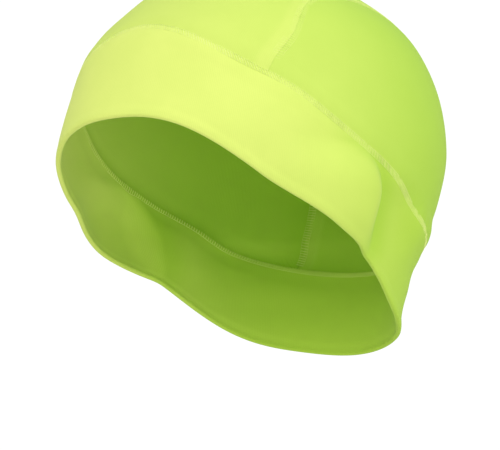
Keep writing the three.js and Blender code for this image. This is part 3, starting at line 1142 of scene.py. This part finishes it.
@dataclass
class Crown:
    """The crown: a middle panel from brow to nape and a leaf-shaped panel on each side."""

    form: HeadForm
    relief: ClothRelief
    wall: float = 0.0012
    seam_gap: float = 0.00002
    along: int = 220
    middle_columns: int = 90
    side_rows: int = 70
    weld: float = 0.01 * MM
    # Painted highlight on the raised strips of the middle panel, and where it fades.
    lap_painted_highlight: float = 0.18
    lap_fade: tuple[float, float] = (9.0 * MM, 5.0 * MM)
    # A deeper tone on the side panels beside the middle panel, and where it fades.
    side_deepening: float = 0.15
    side_fade: tuple[float, float] = (45.0 * MM, 0.0)
    middle_crowding: tuple[float, float] = (0.3, 0.75)
    side_crowding: tuple[float, float] = (0.5, 0.6)
    pucker_share: float = 0.5
    pucker_shift: float = 20.0 * MM

    def middle_panel(self) -> bpy.types.Object:
        """The middle panel's mesh, with the raised strips along its side edges."""
        half = self.seam_gap / 2
        form = self.form
        front = form.corner_angle(0, -half, -half)
        back = form.corner_angle(math.pi, -half, -half)
        share = 2 * crowded_ends(self.middle_columns, self.middle_crowding[1]) - 1
        ahead = self._seam_aim(front * share, -half)
        behind = self._seam_aim(math.pi - (math.pi - back) * share, -half)
        along = crowded_ends(self.along, self.middle_crowding[0])[:, None]
        lean = ahead[0] + (behind[0] - ahead[0]) * along
        pitch = ahead[1] + (behind[1] - ahead[1]) * along
        seam = form.crown_seam_lean(pitch[:, -1], -half)
        lean = lean + (seam - lean[:, -1])[:, None] * share
        spot = form.spot_toward(form.aim(lean, pitch))
        length, across = run_length(spot.point, 0), run_length(spot.point, 1)
        to_side = np.minimum(across, across[:, -1:] - across)
        to_band = np.minimum(length, length[-1:] - length)
        lift = self.relief.lap(to_side) + self.relief.pinch(to_band) + self.relief.drift(spot.point)
        lift = lift + self.relief.pucker(length, to_side) * self.pucker_share
        lift = lift + self.relief.pucker(across, to_band)
        # Painted highlight: the raised strips along the side edges are coloured paler.
        tone_shift = self.lap_painted_highlight * ease(to_side, *self.lap_fade)
        return self._panel("knit_crown_center", spot, lift, across, length, tone_shift)

    def side_panel(self, side: Side) -> bpy.types.Object:
        """A side panel's mesh.

        Args:
            side: the wearer's side.

        Returns:
            The panel.
        """
        half = self.seam_gap / 2
        form = self.form
        front = form.corner_angle(0, half, -half)
        back = form.corner_angle(math.pi, half, -half)
        along = crowded_ends(self.along, self.side_crowding[0])
        lower = self._seam_aim(front + (back - front) * along, -half)
        ends = self._seam_aim(np.array([front, back]), -half)
        pitch = ends[1][0] + (ends[1][1] - ends[1][0]) * along
        upper = form.aim(form.crown_seam_lean(pitch, half), pitch)
        start = form.aim(*lower)
        upper[0], upper[-1] = start[0], start[-1]
        share = crowded_ends(self.side_rows, self.side_crowding[1])[None, :, None]
        direction = unit(start[:, None] + (upper - start)[:, None] * share)
        spot = form.spot_toward(direction)
        length, across = run_length(spot.point, 0), run_length(spot.point, 1)
        to_crown = across[:, -1:] - across
        lift = self.relief.pinch(across) + self.relief.settle(to_crown) + self.relief.drift(spot.point)
        lift = lift + self.relief.pucker(length, across)
        lift = lift + self.relief.pucker(length + self.pucker_shift, to_crown) * self.pucker_share
        flip = np.array([side.value, 1, 1])
        turned = Spot(spot.point * flip, spot.normal * flip)
        # A deeper tone on the side panel, strongest beside the middle panel and gone 45 mm from it.
        tone_shift = -self.side_deepening * ease(to_crown, *self.side_fade)
        return self._panel(f"knit_crown_side_{side.name.lower()}", turned, lift, length, across, tone_shift)

    def _seam_aim(self, angle: Array, shift: float) -> tuple[Array, Array]:
        """Lean and pitch of places beside the band seam."""
        return self.form.aim_of(self.form.point(angle, self.form.band_seam_drop(angle, shift)))

    def _panel(
        self, name: str, spot: Spot, lift: Array, u: Array, v: Array, tone_shift: Array
    ) -> bpy.types.Object:
        """A panel with a wall.

        Args:
            name: the object's name.
            spot: places of its outside, as rows and columns.
            lift: how far each stands out from them.
            u: metres across the wales.
            v: metres along them.
            tone_shift: how much paler or deeper the colour is painted at each place.

        Returns:
            The panel.
        """
        outside = spot.point + spot.normal * lift[..., None]
        inside = outside - spot.normal * self.wall
        flat = np.stack([u, v], -1)
        rings, layout, tone_values = (
            np.concatenate([front, back[:, ::-1]], 1)
            for front, back in ((outside, inside), (flat, flat), (tone_shift, tone_shift))
        )
        sheet = ClothMesh()
        sheet.add_shell(rings, layout, False, tone_values)
        return sheet.build(name, weld=self.weld)

    def make(self, finishes: Finishes) -> list[bpy.types.Object]:
        material = finishes.crown.material()
        middle = self.middle_panel()
        dress(middle, material)
        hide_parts("crown_center_panel")
        pieces = [middle]
        for side in Side:
            leaf = self.side_panel(side)
            dress(leaf, material)
            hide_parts(f"side_panel_{side.name.lower()}")
            pieces.append(leaf)
        return pieces


@dataclass(frozen=True)
class Stitch:
    """The sizes of a flat seam's thread."""

    pitch: float = 1.45 * MM
    thread: float = 0.2 * MM
    above: float = 0.6 * MM
    below: float = 2.3 * MM
    rise: float = 0.06 * MM
    stand: float = 0.1
    slant: float = 1.5 * MM
    needle: float = 0.5
    needle_reach: float = 0.44
    sides: int = 6
    steps: int = 6
    needle_steps: int = 3
    tip: float = 0.22
    tip_power: float = 0.35


@dataclass
class FlatSeam:
    """A flat seam: rungs of thread across it and two rows of needle stitches along it."""

    name: str
    place: Callable[[Array, Array], Spot]
    length: float
    relief: Callable[[Array], Array]
    stitch: Stitch
    face: Face
    depth: Callable[[Array], Array]

    def build(self) -> bpy.types.Object:
        """The seam's thread as one mesh."""
        count = int(self.length / self.stitch.pitch)
        mesh = ClothMesh()
        share = (np.arange(count) + 0.5) / count
        self._rungs(mesh, share)
        for offset in (-self.stitch.above, self.stitch.below):
            self._needle_row(mesh, share, offset)
        return mesh.build(self.name)

    def _rungs(self, mesh: ClothMesh, share: Array) -> None:
        """Thread that crosses the seam at every stitch."""
        across = np.linspace(-self.stitch.above, self.stitch.below, self.stitch.steps + 1)
        slant = self.stitch.slant / self.length * np.linspace(-0.5, 0.5, self.stitch.steps + 1)
        arch = np.sin(np.linspace(0, math.pi, self.stitch.steps + 1)) * self.stitch.rise
        across = np.broadcast_to(across, (len(share), len(across)))
        self._tubes(mesh, share[:, None] + slant, across, arch, self.stitch.thread)

    def _needle_row(self, mesh: ClothMesh, share: Array, offset: float) -> None:
        """Short stitches end to end along the seam, finer than the rungs."""
        reach = self.stitch.needle_reach * self.stitch.pitch / self.length
        steps = self.stitch.needle_steps + 1
        arch = np.sin(np.linspace(0, math.pi, steps)) * self.stitch.rise * self.stitch.needle
        along = share[:, None] + np.linspace(-reach, reach, steps)
        self._tubes(mesh, along, np.full(along.shape, offset), arch, self.stitch.thread * self.stitch.needle)

    def _tubes(self, mesh: ClothMesh, along: Array, across: Array, arch: Array, thick: float) -> None:
        """Threads of equal thickness, each along its own row of places.

        Args:
            mesh: where they go.
            along: shares of the seam's length, a row for each thread.
            across: metres across the seam, in the same shape.
            arch: how far the thread's middle line stands up along its run.
            thick: half the thread's thickness.
        """
        spot = self.place(along, across)
        height = self.relief(across) + (thick * self.stitch.stand + arch) * self.face.value - self.depth(across)
        line = spot.point + spot.normal * height[..., None]
        ahead = np.gradient(line, axis=1)
        side = unit(np.cross(ahead, spot.normal))
        up = unit(np.cross(side, ahead))
        turn = np.arange(self.stitch.sides) / self.stitch.sides * 2 * math.pi
        swell = np.sin(np.linspace(self.stitch.tip, math.pi - self.stitch.tip, line.shape[1]))
        taper = swell**self.stitch.tip_power
        radius = thick * taper[None, :, None, None]
        ring = side[:, :, None] * np.cos(turn)[:, None] + up[:, :, None] * np.sin(turn)[:, None]
        tube = line[:, :, None] + ring * radius
        run = run_length(line, 1)
        flat = np.stack(np.broadcast_arrays(run[:, :, None], turn * thick), -1)
        for one, layout in zip(tube, flat):
            mesh.add_shell(one, layout, False)


@dataclass
class Seams:
    """The cap's flat seams: one round the band and one on each side of the middle panel."""

    form: HeadForm
    relief: ClothRelief
    band_stitch: Stitch = Stitch()
    crown_stitch: Stitch = Stitch(
        thread=0.13 * MM, above=1.5 * MM, below=1.3 * MM, rise=0.04 * MM, stand=0.0, slant=0.4 * MM
    )
    crown_wall: float = 0.0012
    band_wall: float = 0.0024
    seam_ends: float = 3.0 * MM
    wall_step: float = 0.5 * MM
    fine: int = 1200

    def band_place(self) -> tuple[Callable[[Array, Array], Spot], float]:
        """The band seam by share of its length, and that length."""
        angle = np.linspace(0, 2 * math.pi, self.fine + 1)
        line = self.form.point(angle, self.form.seam_drop(angle))
        length = run_length(line, 0)
        total = float(length[-1])

        def place(along: Array, across: Array) -> Spot:
            """Places at shares along the seam and metres below it."""
            at = np.interp((along % 1) * total, length, angle)
            return self.form.spot(at, self.form.band_seam_drop(at, across))

        return place, total

    def crown_place(self, side: Side) -> tuple[Callable[[Array, Array], Spot], float]:
        """A crown seam by share of its length, and that length.

        Args:
            side: the wearer's side.

        Returns:
            The way to find its places, and its length.
        """
        form = self.form
        ends = np.array([form.corner_angle(0, 0, 0), form.corner_angle(math.pi, 0, 0)])
        _, pitches = form.aim_of(form.point(ends, form.band_seam_drop(ends, 0)))
        pitch = np.linspace(pitches[0], pitches[1], self.fine // 2)
        line = form.spot_toward(form.aim(form.crown_seam_lean(pitch, 0), pitch)).point
        length = run_length(line, 0)
        total = float(length[-1]) - 2 * self.seam_ends
        flip = np.array([side.value, 1, 1])

        def place(along: Array, across: Array) -> Spot:
            """Places at shares along the seam and metres outwards from the middle panel."""
            at = np.interp(self.seam_ends + along * total, length, pitch)
            spot = form.spot_toward(form.aim(form.crown_seam_lean(at, across), at))
            return Spot(spot.point * flip, spot.normal * flip)

        return place, total

    def band_depth(self, face: Face) -> Callable[[Array], Array]:
        """How deep the thread of the band seam lies: on the crown's wall above, the band's below."""
        if face is Face.OUTSIDE:
            return np.zeros_like
        more = self.band_wall - self.crown_wall
        return lambda across: self.crown_wall + more * ease(across, -self.wall_step, 0)

    def crown_depth(self, face: Face) -> Callable[[Array], Array]:
        """How deep the thread of a crown seam lies."""
        wall = 0.0 if face is Face.OUTSIDE else self.crown_wall
        return lambda across: np.full_like(across, wall)

    def crown_relief(self, across: Array) -> Array:
        """The cloth's rise beside a crown seam: the lap on the middle panel, the dip on the side panel."""
        return np.where(across < 0, self.relief.lap(np.abs(across)), self.relief.settle(np.abs(across)))

    def band_relief(self, across: Array) -> Array:
        """The cloth's rise beside the band seam."""
        return self.relief.pinch(np.abs(across))

    def make(self, finishes: Finishes) -> list[bpy.types.Object]:
        """Builds and dresses every seam, on both faces of the cloth."""
        material = finishes.thread.material()
        pieces = []
        for face in Face:
            tail = face.name.lower()
            place, length = self.band_place()
            name = f"thread_band_{tail}"
            band = FlatSeam(
                name, place, length, self.band_relief, self.band_stitch, face, self.band_depth(face)
            )
            pieces.append(band.build())
            for side in Side:
                place, length = self.crown_place(side)
                name = f"thread_crown_{side.name.lower()}_{tail}"
                crown = FlatSeam(
                    name, place, length, self.crown_relief, self.crown_stitch, face, self.crown_depth(face)
                )
                pieces.append(crown.build())
        for piece in pieces:
            dress(piece, material)
        return pieces


@dataclass
class Studio:
    """A plain pale floor, a white backdrop, soft lights and the camera."""

    azimuth: float = 42.0
    elevation: float = -10.0
    distance: float = 1.5
    target_side: float = -0.0028
    target_drop: float = 0.1255
    focal_px: float = 3130.0
    image_px: float = 500.0
    sensor_mm: float = 36.0
    floor_z: float = -0.47
    floor_size: float = 12.0
    backdrop_distance: float = 3.2
    backdrop_size: float = 1.1
    backdrop_light: float = 1.05
    world_light: float = 0.4
    lamp_size: float = 0.9
    lamp_reach: float = 1.1
    heart_drop: float = 0.09

    def axes(self) -> tuple[Vector, Vector, Vector]:
        """The camera's right, up and back directions."""
        a, e = self.azimuth * DEGREE, self.elevation * DEGREE
        right = Vector((math.cos(a), math.sin(a), 0))
        back = Vector((math.sin(a) * math.cos(e), -math.cos(a) * math.cos(e), math.sin(e)))
        return right, back.cross(right), back

    def target(self) -> Vector:
        """The point in the middle of the picture."""
        return self.axes()[0] * self.target_side + Vector((0, 0, -self.target_drop))

    def camera(self) -> None:
        """Sets up the camera at the picture's angle."""
        right, up, back = self.axes()
        data = bpy.data.cameras.new("camera")
        data.sensor_width = self.sensor_mm
        data.lens = self.focal_px / self.image_px * self.sensor_mm
        camera = bpy.data.objects.new("camera", data)
        turn = Matrix((right, up, back)).transposed().to_4x4()
        camera.matrix_world = Matrix.Translation(self.target() + back * self.distance) @ turn
        bpy.context.scene.collection.objects.link(camera)
        bpy.context.scene.camera = camera

    def floor(self) -> bpy.types.Object:
        """The pale floor, below the camera."""
        floor = self._plane("floor", self.floor_size)
        floor.location = (0, 0, self.floor_z)
        tree = ShaderTree("pale_floor")
        floor.data.materials.append(tree.finish({}, {"Base Color": (0.86, 0.86, 0.85, 1), "Roughness": 0.8}))
        return floor

    def backdrop(self) -> bpy.types.Object:
        """A small white screen, far behind the cap in the picture's direction."""
        right, up, back = self.axes()
        screen = self._plane("backdrop", self.backdrop_size)
        turn = Matrix((right, up, back)).transposed().to_4x4()
        screen.matrix_world = Matrix.Translation(self.target() - back * self.backdrop_distance) @ turn
        tree = ShaderTree("white_screen")
        values = {
            "Base Color": (0, 0, 0, 1),
            "Specular IOR Level": 0.0,
            "Emission Color": (1, 1, 1, 1),
            "Emission Strength": self.backdrop_light,
        }
        screen.data.materials.append(tree.finish({}, values))
        return screen

    @staticmethod
    def _plane(name: str, size: float) -> bpy.types.Object:
        """A flat square on its own middle."""
        half = size / 2
        mesh = bpy.data.meshes.new(name)
        corners = [(-half, -half, 0), (half, -half, 0), (half, half, 0), (-half, half, 0)]
        mesh.from_pydata(corners, [], [(0, 1, 2, 3)])
        plane = bpy.data.objects.new(name, mesh)
        bpy.context.scene.collection.objects.link(plane)
        return plane

    def light(self, lamp: Lamp) -> None:
        """A soft square lamp that faces the cap.

        Args:
            lamp: where it stands and how strong it is.
        """
        right, up, back = self.axes()
        data = bpy.data.lights.new(lamp.name, "AREA")
        data.energy = lamp.power
        data.size = self.lamp_size
        way = (back * lamp.back + right * lamp.right + up * lamp.up).normalized()
        panel = bpy.data.objects.new(lamp.name, data)
        panel.location = Vector((0, 0, -self.heart_drop)) + way * self.lamp_reach
        panel.rotation_mode = "QUATERNION"
        panel.rotation_quaternion = (-way).to_track_quat("-Z", "Y")
        bpy.context.scene.collection.objects.link(panel)

    def make(self) -> None:
        """Sets up camera, floor, backdrop and light."""
        self.camera()
        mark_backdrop(self.floor(), self.backdrop())
        world = bpy.data.worlds.new("studio")
        world.use_nodes = True
        air = world.node_tree.nodes["Background"]
        air.inputs["Color"].default_value = (1, 1, 1, 1)
        air.inputs["Strength"].default_value = self.world_light
        bpy.context.scene.world = world
        for lamp in LAMPS:
            self.light(lamp)
        bpy.context.scene.view_settings.view_transform = "Standard"


def write_sizes() -> None:
    """Gathers the box before and after dressing into a table that is not kept."""
    boxes = {"cad": CAD_BOX, "visual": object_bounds()}
    {name: [list(corner) for corner in box] for name, box in boxes.items()}


def main() -> None:
    """Builds the cap's pieces in order and sets up the studio."""
    logging.basicConfig(level=logging.INFO, format="%(name)s %(message)s")
    form, relief, finishes = HeadForm(), ClothRelief(), Finishes()
    Studio().make()
    Band(form, relief).make(finishes)
    Crown(form, relief).make(finishes)
    Seams(form, relief).make(finishes)
    write_sizes()


if __name__ == "__main__":
    main()
